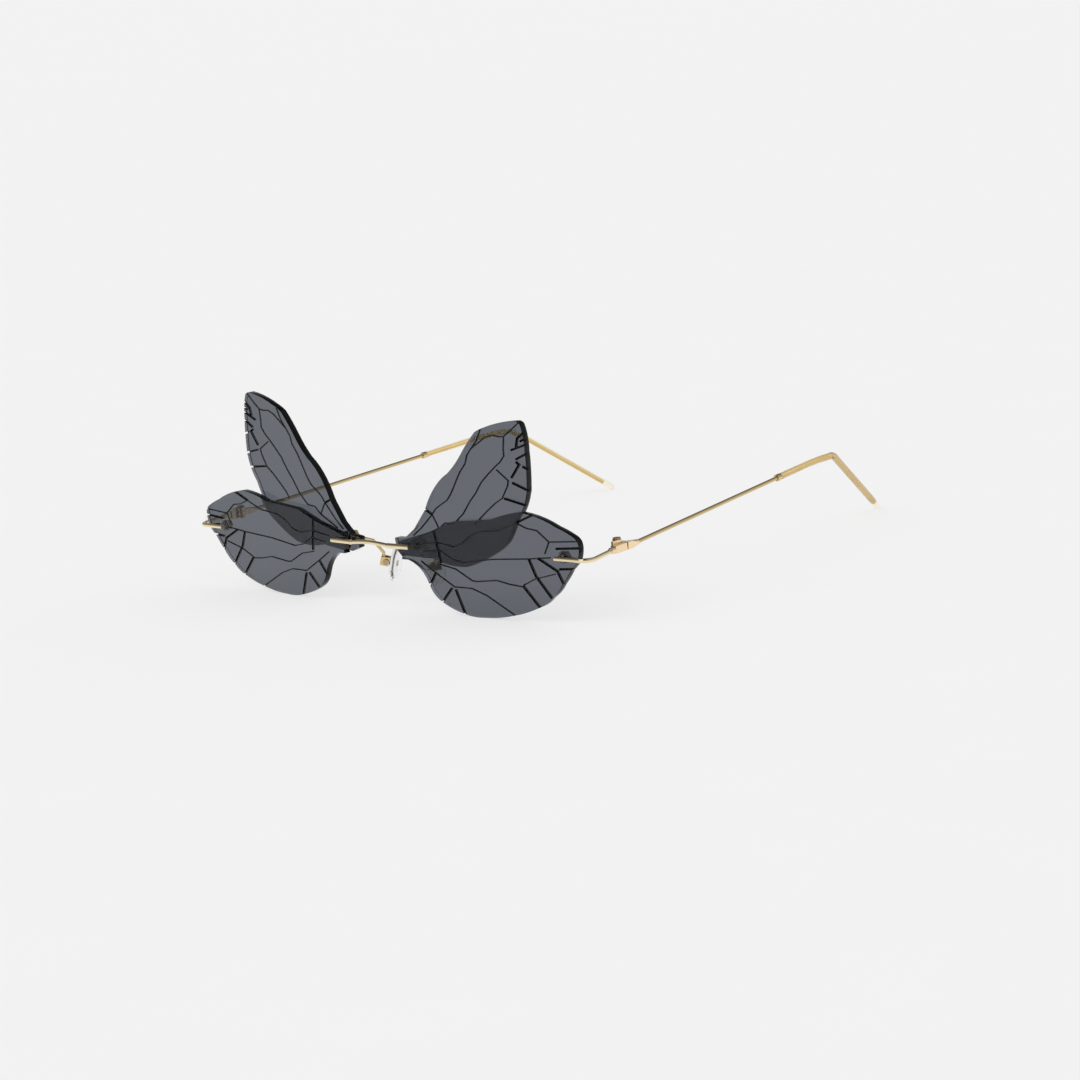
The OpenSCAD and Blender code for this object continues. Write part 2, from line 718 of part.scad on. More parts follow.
module pad_arm(left) {
    eye = [post.x - ring_d / 2 + eye_lap, arm_n + arm_t / 2];
    start = [
        eye.x * cos(wrap_angle) - eye.y * sin(wrap_angle),
        eye.x * sin(wrap_angle) + eye.y * cos(wrap_angle),
        post.y - arm_down
    ];
    top = pad_point([bracket_back + plate_back_t / 2, 0, bracket_h / 2 + arm_d]);
    foot = pad_point([bracket_back + plate_back_t / 2, 0, 0.5]);
    color(gold) on_side(left) {
        plate_frame() ring(post, arm_n, arm_t, post_d);
        bent_wire([start, for (turn = arm_turns) start + turn, top, foot], arm_d);
        pad_frame() {
            block(
                [bracket_back, -ear_out, -bracket_h / 2],
                [bracket_back + plate_back_t, ear_out, bracket_h / 2]
            );
            for (s = [-1, 1]) difference() {
                translate([bracket_front, s * (ear_in + ear_t / 2) - ear_t / 2, -bracket_h / 2])
                    cube([bracket_back - bracket_front + lap, ear_t, bracket_h]);
                across_y(pad_screw_d + 2 * seat, 4 * ear_out);
            }
        }
    }
}

module pad_screw(left) {
    color(gold) on_side(left) pad_frame() {
        across_y(pad_screw_d, 2 * ear_out + 2 * lap);
        translate([0, -ear_out - seat - pad_head_h / 2, 0]) across_y(pad_head_d, pad_head_h);
    }
}

module nose_pad(left) {
    color(clear) on_side(left) pad_frame() difference() {
        union() {
            hull() for (s = [-1, 1])
                translate([pad_back - pad_t / 2, 0, s * (pad_h - pad_w) / 2])
                    rotate([0, 90, 0])
                        rotate_extrude($fn = 32)
                            translate([(pad_w - pad_t) / 2, 0])
                                circle(d = pad_t, $fn = 16);
            block([pad_back - pad_t / 2, -lug_w / 2, -lug_h / 2], [-lug_d / 4, lug_w / 2, lug_h / 2]);
            across_y(lug_d, lug_w);
        }
        across_y(pad_screw_d + 2 * pad_clear, 2 * lug_w);
    }
}

lower_wing(true);  // lower_wing_left
lower_wing(false);  // lower_wing_right
upper_wing(true);  // upper_wing_left
upper_wing(false);  // upper_wing_right
bridge_wire();
plate_spacers();
bridge_washers();
bridge_nuts();
endpiece_wire(true);  // endpiece_wire_left
endpiece_wire(false);  // endpiece_wire_right
endpiece_washers();
endpiece_nuts();
hinge_front(true);  // hinge_front_left
hinge_front(false);  // hinge_front_right
hinge_screw(true);  // hinge_screw_left
hinge_screw(false);  // hinge_screw_right
pad_arm(true);  // pad_arm_left
pad_arm(false);  // pad_arm_right
pad_screw(true);  // pad_screw_left
pad_screw(false);  // pad_screw_right
nose_pad(true);  // nose_pad_left
nose_pad(false);  // nose_pad_right
hinge_temple(true);  // hinge_temple_left
hinge_temple(false);  // hinge_temple_right
temple_wire(true);  // temple_wire_left
temple_wire(false);  // temple_wire_right
ferrule(true);  // ferrule_left
ferrule(false);  // ferrule_right
temple_tip(true);  // temple_tip_left
temple_tip(false);  // temple_tip_right
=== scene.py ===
"""Studio scene for the rimless glasses.

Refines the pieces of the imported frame, gives them their finishes, and sets up light and camera.
"""

import json
import logging
import math
from collections.abc import Iterable
from dataclasses import dataclass, field
from enum import Enum

import bpy
from mathutils import Matrix, Vector
from mathutils.bvhtree import BVHTree

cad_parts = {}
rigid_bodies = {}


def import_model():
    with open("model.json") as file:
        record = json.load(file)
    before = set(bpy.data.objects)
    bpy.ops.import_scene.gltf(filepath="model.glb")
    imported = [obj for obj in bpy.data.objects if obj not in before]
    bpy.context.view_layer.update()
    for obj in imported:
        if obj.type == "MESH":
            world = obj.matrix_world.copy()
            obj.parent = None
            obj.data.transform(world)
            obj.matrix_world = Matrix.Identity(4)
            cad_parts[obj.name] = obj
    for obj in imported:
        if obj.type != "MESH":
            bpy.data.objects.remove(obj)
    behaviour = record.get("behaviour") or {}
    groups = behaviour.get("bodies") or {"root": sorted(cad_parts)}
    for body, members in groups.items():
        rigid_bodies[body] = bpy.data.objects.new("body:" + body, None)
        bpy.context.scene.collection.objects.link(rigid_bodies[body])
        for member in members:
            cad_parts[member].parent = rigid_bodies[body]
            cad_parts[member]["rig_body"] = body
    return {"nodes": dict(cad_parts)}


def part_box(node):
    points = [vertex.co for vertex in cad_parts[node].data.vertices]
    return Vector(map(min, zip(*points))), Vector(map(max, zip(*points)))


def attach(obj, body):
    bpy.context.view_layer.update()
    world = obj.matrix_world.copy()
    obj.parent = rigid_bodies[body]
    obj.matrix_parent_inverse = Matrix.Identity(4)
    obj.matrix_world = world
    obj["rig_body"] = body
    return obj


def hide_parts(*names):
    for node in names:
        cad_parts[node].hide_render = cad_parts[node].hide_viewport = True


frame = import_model()

LOG = logging.getLogger("glasses")
MM = 0.001
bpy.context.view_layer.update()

# Bevel widths of the small parts' edges.
WIRE_EDGE = 0.08 * MM
CORE_EDGE = 0.05 * MM
NUT_EDGE = 0.12 * MM
RING_EDGE = 0.06 * MM
BLOCK_EDGE = 0.10 * MM
NO_EDGE = 0.0

# Places of the colour sockets on a Mix node.
MIX_FIRST = 6
MIX_SECOND = 7
MIX_RESULT = 2

WHITE = (1.0, 1.0, 1.0, 1.0)
Colour = tuple[float, float, float]


class Side(Enum):
    """The wearer's side that a piece belongs to."""

    LEFT = "left"
    RIGHT = "right"

    def node(self, stem: str) -> str:
        """Return the name of this side's CAD node."""
        return f"{stem}_{self.value}"


class Zone(Enum):
    """The parts of a plate's surface, in the order of its material slots."""

    FACE = 0
    GROOVE = 1
    RIM = 2
    EDGE = 3
    NOTCH = 4


# ---------------------------------------------------------------- shader helpers


def new_group(
    name: str, inputs: Iterable[tuple[str, str, float]], outputs: Iterable[tuple[str, str]]
) -> bpy.types.NodeTree:
    """Make an empty shader node group with its sockets.

    Args:
        name: The group's name.
        inputs: Name, socket type and default of each input.
        outputs: Name and socket type of each output.

    Returns:
        The node tree, with its input and output nodes named "in" and "out".
    """
    tree = bpy.data.node_groups.new(name, "ShaderNodeTree")
    for label, kind, value in inputs:
        socket = tree.interface.new_socket(label, in_out="INPUT", socket_type=kind)
        if kind == "NodeSocketFloat":
            socket.default_value = value
    for label, kind in outputs:
        tree.interface.new_socket(label, in_out="OUTPUT", socket_type=kind)
    tree.nodes.new("NodeGroupInput").name = "in"
    tree.nodes.new("NodeGroupOutput").name = "out"
    return tree


def grey(level: float) -> tuple[float, float, float, float]:
    """Return an opaque grey of one level."""
    return (level, level, level, 1.0)


def math_node(
    tree: bpy.types.NodeTree, kind: str, a: object, b: object, clamp: bool = False
) -> bpy.types.NodeSocket:
    """Add a math node fed by sockets or numbers.

    Args:
        tree: The node tree.
        kind: The operation.
        a: First socket or number.
        b: Second socket or number.
        clamp: Whether the result stays between 0 and 1.

    Returns:
        The result socket.
    """
    made = tree.nodes.new("ShaderNodeMath")
    made.operation, made.use_clamp = kind, clamp
    for place, value in enumerate((a, b)):
        if isinstance(value, bpy.types.NodeSocket):
            tree.links.new(value, made.inputs[place])
        else:
            made.inputs[place].default_value = value
    return made.outputs[0]


@dataclass(frozen=True)
class WearGroup:
    """The shared wear effect: fine scratches, smudges and a slight unevenness."""

    name: str = "surface_wear"
    smudge_share: float = 0.12
    smudge_detail: float = 4
    grain_detail: float = 6
    grain_height: float = 0.3
    scratch_share: float = 0.35
    scratch_width: float = 0.012
    scratch_above: float = 0.55
    scratch_roughness: float = 0.25
    noise_middle: float = 0.5

    def noise(
        self, tree: bpy.types.NodeTree, detail: float, scale: bpy.types.NodeSocket
    ) -> bpy.types.NodeSocket:
        """Add a noise texture on the group's vector.

        Args:
            tree: The group's node tree.
            detail: Number of octaves.
            scale: The socket that sets its scale.

        Returns:
            The noise value.
        """
        made = tree.nodes.new("ShaderNodeTexNoise")
        made.inputs["Detail"].default_value = detail
        tree.links.new(tree.nodes["in"].outputs["Vector"], made.inputs["Vector"])
        tree.links.new(scale, made.inputs["Scale"])
        return made.outputs["Fac"]

    def scratches(
        self, tree: bpy.types.NodeTree, smudge: bpy.types.NodeSocket
    ) -> bpy.types.NodeSocket:
        """Add thin broken lines, which show only where the smudges are strong.

        Args:
            tree: The group's node tree.
            smudge: The smudge mask.

        Returns:
            The scratch mask, at the strength of the group's Scratch input.
        """
        source = tree.nodes["in"].outputs
        cells = tree.nodes.new("ShaderNodeTexVoronoi")
        cells.feature = "DISTANCE_TO_EDGE"
        tree.links.new(source["Vector"], cells.inputs["Vector"])
        scale = math_node(tree, "MULTIPLY", source["Scale"], self.scratch_share)
        tree.links.new(scale, cells.inputs["Scale"])
        line = math_node(tree, "LESS_THAN", cells.outputs["Distance"], self.scratch_width)
        strong = math_node(tree, "GREATER_THAN", smudge, self.scratch_above)
        broken = math_node(tree, "MULTIPLY", line, strong)
        return math_node(tree, "MULTIPLY", broken, source["Scratch"])

    def tree(self) -> bpy.types.NodeTree:
        """Build the group, or return it if it has been built.

        Returns:
            A group that puts out a roughness, a height for a bump and a smudge mask.
        """
        known = bpy.data.node_groups.get(self.name)
        if known:
            return known
        made = new_group(
            self.name,
            [
                ("Vector", "NodeSocketVector", 0.0),
                ("Roughness", "NodeSocketFloat", 0.2),
                ("Spread", "NodeSocketFloat", 0.1),
                ("Scale", "NodeSocketFloat", 900.0),
                ("Scratch", "NodeSocketFloat", 0.3),
            ],
            [
                ("Roughness", "NodeSocketFloat"),
                ("Height", "NodeSocketFloat"),
                ("Smudge", "NodeSocketFloat"),
            ],
        )
        source, sink = made.nodes["in"].outputs, made.nodes["out"].inputs
        wide = math_node(made, "MULTIPLY", source["Scale"], self.smudge_share)
        smudge = self.noise(made, self.smudge_detail, wide)
        grain = self.noise(made, self.grain_detail, source["Scale"])
        mark = self.scratches(made, smudge)
        wave = math_node(made, "SUBTRACT", smudge, self.noise_middle)
        uneven = math_node(made, "MULTIPLY", wave, source["Spread"])
        rough = math_node(made, "ADD", source["Roughness"], uneven)
        dull = math_node(made, "MULTIPLY", mark, self.scratch_roughness)
        made.links.new(math_node(made, "ADD", rough, dull, clamp=True), sink["Roughness"])
        fine = math_node(made, "MULTIPLY", grain, self.grain_height)
        made.links.new(math_node(made, "SUBTRACT", fine, mark), sink["Height"])
        made.links.new(smudge, sink["Smudge"])
        return made


WEAR = WearGroup()


# ---------------------------------------------------------------- finishes


@dataclass(frozen=True)
class Finish:
    """A surface finish whose colour and gloss vary a little over the piece."""

    name: str
    slot: str
    colour: Colour
    deep_colour: Colour
    metallic: float = 0.0
    transmission: float = 0.0
    ior: float = 1.49
    specular: float = 0.5
    roughness: float = 0.2
    spread: float = 0.1
    scale: float = 900.0
    scratch: float = 0.3
    bump: float = 0.02
    bump_depth: float = 0.05 * MM
    glow: float = 0.0

    def material(self) -> bpy.types.Material:
        """Build the material, or return it if it has been built.

        Returns:
            The Blender material.
        """
        known = bpy.data.materials.get(self.name)
        if known:
            return known
        made = bpy.data.materials.new(self.name)
        made.use_nodes = True
        tree = made.node_tree
        shader = tree.nodes["Principled BSDF"]
        shader.inputs["Metallic"].default_value = self.metallic
        shader.inputs["Transmission Weight"].default_value = self.transmission
        shader.inputs["IOR"].default_value = self.ior
        shader.inputs["Specular IOR Level"].default_value = self.specular
        shader.inputs["Emission Color"].default_value = WHITE
        shader.inputs["Emission Strength"].default_value = self.glow
        place = tree.nodes.new("ShaderNodeTexCoord")
        wear = tree.nodes.new("ShaderNodeGroup")
        wear.node_tree = WEAR.tree()
        wear.inputs["Roughness"].default_value = self.roughness
        wear.inputs["Spread"].default_value = self.spread
        wear.inputs["Scale"].default_value = self.scale
        wear.inputs["Scratch"].default_value = self.scratch
        tree.links.new(place.outputs["Object"], wear.inputs["Vector"])
        blend = tree.nodes.new("ShaderNodeMix")
        blend.data_type = "RGBA"
        blend.inputs[MIX_FIRST].default_value = (*self.colour, 1)
        blend.inputs[MIX_SECOND].default_value = (*self.deep_colour, 1)
        tree.links.new(wear.outputs["Smudge"], blend.inputs[0])
        tree.links.new(blend.outputs[MIX_RESULT], shader.inputs["Base Color"])
        tree.links.new(wear.outputs["Roughness"], shader.inputs["Roughness"])
        bump = tree.nodes.new("ShaderNodeBump")
        bump.inputs["Strength"].default_value = self.bump
        bump.inputs["Distance"].default_value = self.bump_depth
        tree.links.new(wear.outputs["Height"], bump.inputs["Height"])
        tree.links.new(bump.outputs["Normal"], shader.inputs["Normal"])
        return made


TINTED_FACE = Finish(
    "tinted_face", "tinted_plate", (0.137, 0.148, 0.170), (0.128, 0.139, 0.160),
    transmission=1.0, ior=1.30, roughness=0.02, spread=0.03, scale=500, scratch=0.12, bump=0.006,
)
# Near-black colour of the engraved veins: painted shade inside the narrow grooves.
GROOVE_PAINTED_SHADE = Finish(
    "groove_painted_shade", "tinted_plate", (0.026, 0.028, 0.032), (0.042, 0.044, 0.050),
    specular=0.35, roughness=0.40, spread=0.2, scale=2500, scratch=0.0, bump=0.25,
)
# Almost black colour of the deep notches: painted shade, darker than the grooves because the cuts
# are deeper.
NOTCH_PAINTED_SHADE = Finish(
    "notch_painted_shade", "tinted_plate", (0.007, 0.007, 0.009), (0.016, 0.016, 0.019),
    specular=0.2, roughness=0.45, spread=0.2, scale=2500, scratch=0.0, bump=0.25,
)
TINTED_RIM = Finish(
    "tinted_rim", "tinted_plate", (0.0030, 0.0033, 0.0042), (0.0060, 0.0064, 0.0078),
    transmission=1.0, ior=1.30, roughness=0.05, spread=0.08, scale=1400, scratch=0.2, bump=0.03,
)
# Lighter grey of the rounded cut edges: partly a frosted cut, partly painted highlight lines
# along the veins.
EDGE_FROST_AND_PAINTED_HIGHLIGHT = Finish(
    "edge_frost_and_painted_highlight", "tinted_plate", (0.075, 0.078, 0.084), (0.035, 0.037, 0.041),
    specular=0.5, roughness=0.18, spread=0.15, scale=1800, scratch=0.2, bump=0.05,
)
PALE_GOLD = Finish(
    "pale_gold_wire", "gold_wire", (0.75, 0.59, 0.32), (0.63, 0.48, 0.23),
    metallic=1.0, roughness=0.12, spread=0.08, scale=1600, scratch=0.35, bump=0.05,
)
# Lighter copy of the wire gold for the bridge and endpiece bars: the front light on the bars is
# painted into its colour.
BAR_GOLD_PAINTED_LIGHT = Finish(
    "gold_wire_painted_light", "gold_wire", (0.95, 0.81, 0.55), (0.88, 0.73, 0.45),
    metallic=1.0, roughness=0.14, spread=0.08, scale=1600, scratch=0.3, bump=0.05,
)
# Lighter copy of the gold for the hinge blocks: the light on the blocks is painted into its
# colour.
HINGE_GOLD_PAINTED_LIGHT = Finish(
    "hinge_gold_painted_light", "gold_hinge", (1.00, 0.80, 0.53), (0.94, 0.73, 0.45),
    metallic=1.0, roughness=0.22, spread=0.14, scale=1800, scratch=0.45, bump=0.09,
)
SCREW_GOLD = Finish(
    "pale_gold_fastener", "gold_fastener", (0.58, 0.43, 0.25), (0.38, 0.27, 0.15),
    metallic=1.0, roughness=0.24, spread=0.16, scale=2200, scratch=0.5, bump=0.08,
)
# Darker, redder copy of the gold for the hinge screws: the shade on the screw tops and knuckles
# is painted into its colour.
PIN_GOLD_PAINTED_SHADE = Finish(
    "pin_gold_painted_shade", "gold_fastener", (0.56, 0.33, 0.20), (0.34, 0.17, 0.10),
    metallic=1.0, roughness=0.26, spread=0.16, scale=2200, scratch=0.5, bump=0.08,
)
FERRULE_GOLD = Finish(
    "pale_gold_ferrule", "gold_ferrule", (0.86, 0.68, 0.37), (0.74, 0.56, 0.28),
    metallic=1.0, roughness=0.12, spread=0.10, scale=1800, scratch=0.3, bump=0.05,
)
CLEAR_RING = Finish(
    "ring_plastic", "clear_ring", (0.90, 0.91, 0.92), (0.84, 0.85, 0.86),
    transmission=1.0, roughness=0.12, spread=0.08, scale=1600, scratch=0.2, bump=0.03,
)
CLEAR_SLEEVE = Finish(
    "sleeve_plastic", "clear_sleeve", (1.00, 0.95, 0.82), (0.99, 0.92, 0.77),
    transmission=1.0, ior=1.30, roughness=0.03, spread=0.03, scale=700, scratch=0.1, bump=0.003,
)
CLEAR_PAD = Finish(
    "pad_plastic", "clear_pad", (0.95, 0.96, 0.955), (0.90, 0.91, 0.90),
    transmission=1.0, ior=1.41, specular=0.4, roughness=0.14, spread=0.10, scale=800,
    scratch=0.25, bump=0.04,
)
LIGHT_TABLE = Finish(
    "light_table", "", (0.27, 0.27, 0.27), (0.26, 0.26, 0.26),
    specular=0.0, roughness=0.9, spread=0.05, scale=300, scratch=0.0, bump=0.02, glow=0.64,
)


# ---------------------------------------------------------------- mesh helpers


def pick_only(obj: bpy.types.Object) -> None:
    """Deselect everything, then select obj and make it active."""
    bpy.ops.object.select_all(action="DESELECT")
    obj.hide_set(False)
    obj.select_set(True)
    bpy.context.view_layer.objects.active = obj


@dataclass(frozen=True)
class Refiner:
    """Turns a CAD node's mesh into a clean mesh with rounded edges."""

    weld: float = 0.002 * MM
    flat_angle: float = math.radians(0.5)
    round_angle: float = math.radians(32)
    smooth_angle: float = math.radians(38)
    bevel_segments: int = 2
    area_weight: int = 90

    def copy(self, node: str, body: str) -> bpy.types.Object:
        """Copy a node into a new object with its own welded mesh.

        Args:
            node: The CAD node's name.
            body: The CAD body that the piece rides on.

        Returns:
            The new object, at the origin.
        """
        source = frame["nodes"][node]
        mesh = source.data.copy()
        made = bpy.data.objects.new(f"{node}_piece", mesh)
        bpy.context.scene.collection.objects.link(made)
        mesh.materials.clear()
        pick_only(made)
        bpy.ops.object.mode_set(mode="EDIT")
        bpy.ops.mesh.select_all(action="SELECT")
        bpy.ops.mesh.remove_doubles(threshold=self.weld)
        bpy.ops.mesh.dissolve_limited(angle_limit=self.flat_angle)
        bpy.ops.mesh.customdata_custom_splitnormals_clear()
        bpy.ops.object.mode_set(mode="OBJECT")
        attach(made, body)
        return made

    def round_edges(self, obj: bpy.types.Object, width: float, slot: int = -1) -> None:
        """Bevel an object's sharp edges and smooth what is round.

        Args:
            obj: The piece.
            width: Width of the bevel, in metres.
            slot: Material slot of the bevel's faces, or -1 for that of the faces beside it.
        """
        pick_only(obj)
        if width > 0:
            bevel = obj.modifiers.new("edge", "BEVEL")
            bevel.width, bevel.segments = width, self.bevel_segments
            bevel.limit_method, bevel.angle_limit = "ANGLE", self.round_angle
            bevel.use_clamp_overlap = True
            bevel.harden_normals, bevel.material = False, slot
            bpy.ops.object.modifier_apply(modifier=bevel.name)
        bpy.ops.object.shade_smooth_by_angle(angle=self.smooth_angle)

    def even_normals(self, obj: bpy.types.Object) -> None:
        """Let large faces set the shading, so that long straight lengths look straight.

        Args:
            obj: The piece, after its edges are rounded.
        """
        pick_only(obj)
        even = obj.modifiers.new("even", "WEIGHTED_NORMAL")
        even.mode, even.weight, even.keep_sharp = "FACE_AREA", self.area_weight, True
        bpy.ops.object.modifier_apply(modifier=even.name)

    def dress(self, obj: bpy.types.Object, node: str, *finishes: Finish) -> None:
        """Give a piece its finishes and let it stand for its CAD node.

        Args:
            obj: The piece.
            node: The CAD node that it replaces.
            finishes: Its finishes, in the order of its material slots.
        """
        for finish in finishes:
            obj.data.materials.append(finish.material())
        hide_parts(node)
        LOG.info("%s: %d faces, %s", obj.name, len(obj.data.polygons), finishes[0].name)


REFINE = Refiner()


def body_of_node(node: str) -> str:
    """Return the name of the CAD body that a node belongs to."""
    return frame["nodes"][node]["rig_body"]


# ---------------------------------------------------------------- sub-assemblies


@dataclass
class WingPlates:
    """The four tinted plates with their engraved veins."""

    wrap: float = math.radians(3)
    edge_round: float = 0.08 * MM
    near: float = 0.03 * MM
    notch_from: float = 0.6 * MM
    facing: float = 0.9
    flat: float = 0.995
    finishes: tuple[Finish, ...] = (
        TINTED_FACE, GROOVE_PAINTED_SHADE, TINTED_RIM, EDGE_FROST_AND_PAINTED_HIGHLIGHT, NOTCH_PAINTED_SHADE,
    )

    def depth(self, point: Vector) -> float:
        """Return how far a point lies behind the plates' common front line."""
        return point.y * math.cos(self.wrap) - abs(point.x) * math.sin(self.wrap)

    def mark_zones(self, obj: bpy.types.Object) -> None:
        """Set each face's slot to face, groove, rim or notch by its depth and normal; the groove
        and notch slots hold painted shade, darkest in the deep notches.

        Args:
            obj: The plate, before its edges are rounded.
        """
        mesh = obj.data
        depths = [self.depth(v.co) for v in mesh.vertices]
        front, back = min(depths), max(depths)
        for face in mesh.polygons:
            deepest = max(depths[i] for i in face.vertices)
            at_back = back - deepest < self.near
            # Cuts deeper than notch_from take the darker painted shade of the notch finish.
            cut = Zone.NOTCH if deepest - front > self.notch_from else Zone.GROOVE
            if abs(face.normal.y) > self.facing:
                zone = Zone.FACE if at_back or deepest - front < self.near else cut
            else:
                zone = Zone.RIM if at_back else cut
            face.material_index = zone.value

    def keep_flat(self, obj: bpy.types.Object) -> None:
        """Shade a plate's flat faces flat, so that what lies behind them isn't bent.

        Args:
            obj: The plate, after its edges are rounded.
        """
        for face in obj.data.polygons:
            if abs(face.normal.y) > self.flat:
                face.use_smooth = False

    def build(self) -> None:
        """Refine, mark and dress each plate."""
        for stem in ("lower_wing", "upper_wing"):
            for side in Side:
                node = side.node(stem)
                plate = REFINE.copy(node, body_of_node(node))
                self.mark_zones(plate)
                # The rounded edges take the edge finish, whose lighter grey is partly frosted cut
                # and partly painted highlight.
                REFINE.round_edges(plate, self.edge_round, Zone.EDGE.value)
                self.keep_flat(plate)
                REFINE.dress(plate, node, *self.finishes)


@dataclass
class Fittings:
    """Pieces that keep their CAD shape, with rounded edges and one finish each."""

    title: str
    parts: tuple[tuple[str, float, Finish], ...]
    pieces: list[bpy.types.Object] = field(default_factory=list)

    def build(self) -> None:
        """Refine and dress each piece."""
        for node, width, finish in self.parts:
            piece = REFINE.copy(node, body_of_node(node))
            REFINE.round_edges(piece, width)
            REFINE.even_normals(piece)
            REFINE.dress(piece, node, finish)
            self.pieces.append(piece)
        LOG.info("%s: %d pieces", self.title, len(self.pieces))


@dataclass
class Sleeves:
    """The clear end sleeves, moulded on their gold cores without an air gap."""

    edge_round: float = 0.08 * MM
    reach: float = 0.1 * MM
    finish: Finish = CLEAR_SLEEVE

    def embed_core(self, piece: bpy.types.Object, core: bpy.types.Object) -> None:
        """Remove the wall of a sleeve's bore, so that the core lies in solid plastic.

        Args:
            piece: The sleeve.
            core: The wire inside it.
        """
        pick_only(piece)
        shape = BVHTree.FromPolygons(
            [v.co for v in core.data.vertices], [tuple(p.vertices) for p in core.data.polygons]
        )
        bpy.ops.object.mode_set(mode="EDIT")
        bpy.ops.mesh.select_mode(type="FACE")
        bpy.ops.mesh.select_all(action="DESELECT")
        bpy.ops.object.mode_set(mode="OBJECT")
        for face in piece.data.polygons:
            face.select = shape.find_nearest(face.center)[3] < self.reach
        bpy.ops.object.mode_set(mode="EDIT")
        bpy.ops.mesh.delete(type="FACE")
        bpy.ops.mesh.select_all(action="SELECT")
        bpy.ops.mesh.fill_holes(sides=0)
        bpy.ops.object.mode_set(mode="OBJECT")

    def build(self) -> None:
        """Refine and dress both sleeves."""
        for side in Side:
            node = side.node("temple_tip")
            piece = REFINE.copy(node, body_of_node(node))
            self.embed_core(piece, frame["nodes"][side.node("temple_wire")])
            REFINE.round_edges(piece, self.edge_round)
            REFINE.even_normals(piece)
            REFINE.dress(piece, node, self.finish)


def both(stem: str, width: float, finish: Finish) -> tuple[tuple[str, float, Finish], ...]:
    """Return the entries of a left and a right piece that are alike."""
    return tuple((side.node(stem), width, finish) for side in Side)


@dataclass(frozen=True)
class SoftLight:
    """One wide soft light that lights the whole floor evenly.

    It shines from the direction place, fills an angle of spread degrees, and has power watts per
    square metre.
    """

    name: str
    place: tuple[float, float, float]
    spread: float
    power: float

    def hang(self) -> None:
        """Add the light to the scene."""
        data = bpy.data.lights.new(self.name, "SUN")
        data.angle, data.energy = math.radians(self.spread), self.power
        made = bpy.data.objects.new(self.name, data)
        bpy.context.scene.collection.objects.link(made)
        made.rotation_euler = (-Vector(self.place)).to_track_quat("-Z", "Y").to_euler()


KEY_LIGHT = SoftLight("key_light", (-0.3, -1.0, 1.1), 34, 0.55)
FILL_LIGHT = SoftLight("fill_light", (1.0, 0.6, 1.3), 80, 0.35)


@dataclass
class Room:
    """The pale room round the glasses: what it shows, how it lights, and what metal reflects."""

    backdrop: float = 0.89
    even_light: float = 0.74
    horizon: float = 0.58
    overhead: float = 0.08
    overhead_from: float = 0.7

    def background(self, tree: bpy.types.NodeTree, level: float) -> bpy.types.ShaderNode:
        """Add a background of one even grey and return its node."""
        made = tree.nodes.new("ShaderNodeBackground")
        made.inputs["Color"].default_value = grey(level)
        return made

    def reflection(self, tree: bpy.types.NodeTree) -> bpy.types.ShaderNode:
        """Add the background that glossy pieces reflect, which darkens upwards.

        Args:
            tree: The world's node tree.

        Returns:
            The background node.
        """
        made = self.background(tree, self.horizon)
        place = tree.nodes.new("ShaderNodeTexCoord")
        split = tree.nodes.new("ShaderNodeSeparateXYZ")
        tree.links.new(place.outputs["Generated"], split.inputs[0])
        ramp = tree.nodes.new("ShaderNodeValToRGB")
        low, high = ramp.color_ramp.elements
        low.position, low.color = 0.0, grey(self.horizon)
        high.position, high.color = self.overhead_from, grey(self.overhead)
        tree.links.new(split.outputs["Z"], ramp.inputs[0])
        tree.links.new(ramp.outputs[0], made.inputs["Color"])
        return made

    def choose(
        self,
        tree: bpy.types.NodeTree,
        mask: bpy.types.NodeSocket,
        other: bpy.types.ShaderNode,
        picked: bpy.types.ShaderNode,
    ) -> bpy.types.ShaderNode:
        """Add a node that takes one shader where a mask is 1, and another where it is 0.

        Args:
            tree: The world's node tree.
            mask: The mask.
            other: The node taken where the mask is 0.
            picked: The node taken where the mask is 1.

        Returns:
            The mixing node.
        """
        made = tree.nodes.new("ShaderNodeMixShader")
        for place, source in enumerate((mask, other.outputs[0], picked.outputs[0])):
            tree.links.new(source, made.inputs[place])
        return made

    def build(self) -> None:
        """Make the room the scene's world."""
        world = bpy.data.worlds.new("studio_room")
        bpy.context.scene.world = world
        world.use_nodes = True
        tree = world.node_tree
        tree.nodes.clear()
        ray = tree.nodes.new("ShaderNodeLightPath").outputs
        even = self.background(tree, self.even_light)
        unseen = self.choose(tree, ray["Is Diffuse Ray"], self.reflection(tree), even)
        direct = math_node(tree, "MAXIMUM", ray["Is Camera Ray"], ray["Is Transmission Ray"])
        shown = self.choose(tree, direct, unseen, self.background(tree, self.backdrop))
        out = tree.nodes.new("ShaderNodeOutputWorld")
        tree.links.new(shown.outputs[0], out.inputs["Surface"])


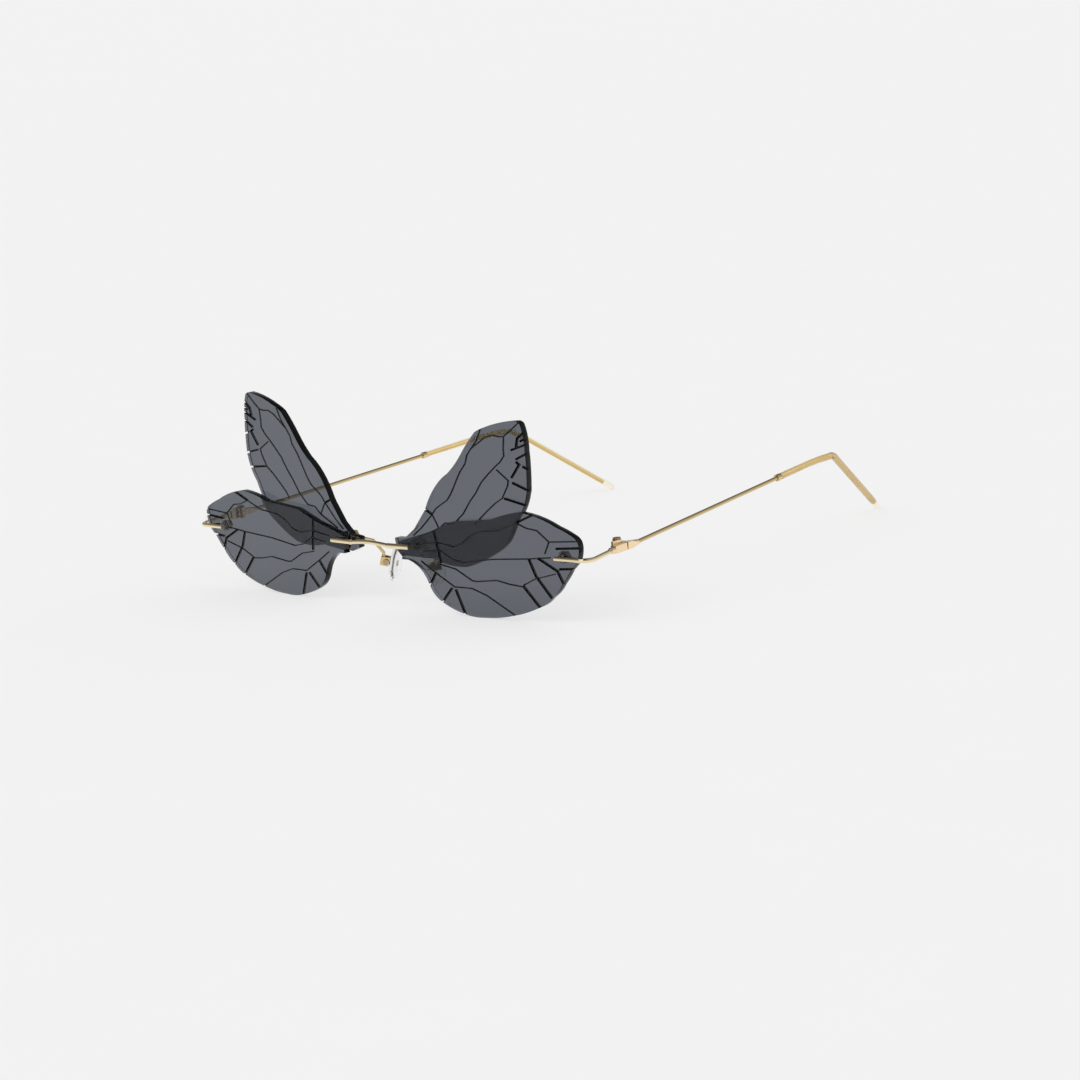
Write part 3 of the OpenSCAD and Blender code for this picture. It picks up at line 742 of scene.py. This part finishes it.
@dataclass
class Studio:
    """The floor, the light and the camera."""

    azimuth: float = math.radians(44.92)
    elevation: float = math.radians(10.99)
    roll: float = math.radians(-5.62)
    distance: float = 600 * MM
    aim: tuple[float, float, float] = (57.54 * MM, 2.12 * MM, 20.56 * MM)
    lens: float = 87.07
    sensor: float = 36
    clip: tuple[float, float] = (0.01, 50)
    floor_size: float = 120.0
    floor_cells: int = 8

    def floor(self) -> bpy.types.Object:
        """Lay a plain pale floor that glows a little, like a light table, under the glasses.

        Returns:
            The floor object.
        """
        bpy.ops.object.select_all(action="DESELECT")
        bpy.ops.mesh.primitive_grid_add(
            x_subdivisions=self.floor_cells, y_subdivisions=self.floor_cells, size=self.floor_size
        )
        made = bpy.context.active_object
        made.name = "floor"
        made.data.materials.append(LIGHT_TABLE.material())
        return made

    def camera(self) -> None:
        """Set the camera at the photograph's place, roll and lens."""
        a, e, r = self.azimuth, self.elevation, self.roll
        ahead = Vector((-math.sin(a) * math.cos(e), math.cos(a) * math.cos(e), -math.sin(e)))
        level = Vector((math.cos(a), math.sin(a), 0))
        up = level.cross(ahead)
        right = level * math.cos(r) + up * math.sin(r)
        top = up * math.cos(r) - level * math.sin(r)
        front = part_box("bridge_wire")[0].y
        target = Vector((self.aim[0], front + self.aim[1], self.aim[2]))
        data = bpy.data.cameras.new("camera")
        data.lens, data.sensor_width = self.lens, self.sensor
        data.clip_start, data.clip_end = self.clip
        made = bpy.data.objects.new("camera", data)
        bpy.context.scene.collection.objects.link(made)
        turn = Matrix((right, top, -ahead)).transposed().to_4x4()
        made.matrix_world = Matrix.Translation(target - ahead * self.distance) @ turn
        bpy.context.scene.camera = made

    def build(self) -> None:
        """Set up the whole studio."""
        self.floor()
        Room().build()
        KEY_LIGHT.hang()
        FILL_LIGHT.hang()
        self.camera()
        bpy.context.scene.view_settings.view_transform = "Standard"


def main() -> None:
    """Build every piece and the studio."""
    logging.basicConfig(level=logging.INFO, format="%(message)s")
    WingPlates().build()
    Fittings(
        "bridge",
        (
            ("bridge_wire", WIRE_EDGE, BAR_GOLD_PAINTED_LIGHT),
            ("bridge_nuts", NUT_EDGE, SCREW_GOLD),
            ("bridge_washers", RING_EDGE, CLEAR_RING),
            ("plate_spacers", RING_EDGE, CLEAR_RING),
        ),
    ).build()
    Fittings(
        "endpieces",
        (
            *both("endpiece_wire", WIRE_EDGE, BAR_GOLD_PAINTED_LIGHT),
            ("endpiece_nuts", NUT_EDGE, SCREW_GOLD),
            ("endpiece_washers", RING_EDGE, CLEAR_RING),
        ),
    ).build()
    Fittings(
        "hinges",
        (
            *both("hinge_front", BLOCK_EDGE, HINGE_GOLD_PAINTED_LIGHT),
            *both("hinge_temple", BLOCK_EDGE, HINGE_GOLD_PAINTED_LIGHT),
            *both("hinge_screw", RING_EDGE, PIN_GOLD_PAINTED_SHADE),
        ),
    ).build()
    Fittings(
        "temples",
        (
            *both("temple_wire", CORE_EDGE, PALE_GOLD),
            *both("ferrule", NUT_EDGE, FERRULE_GOLD),
        ),
    ).build()
    Sleeves().build()
    Fittings(
        "nose pads",
        (
            *both("pad_arm", WIRE_EDGE, PALE_GOLD),
            *both("pad_screw", RING_EDGE, SCREW_GOLD),
            *both("nose_pad", NO_EDGE, CLEAR_PAD),
        ),
    ).build()
    Studio().build()


if __name__ == "__main__":
    main()
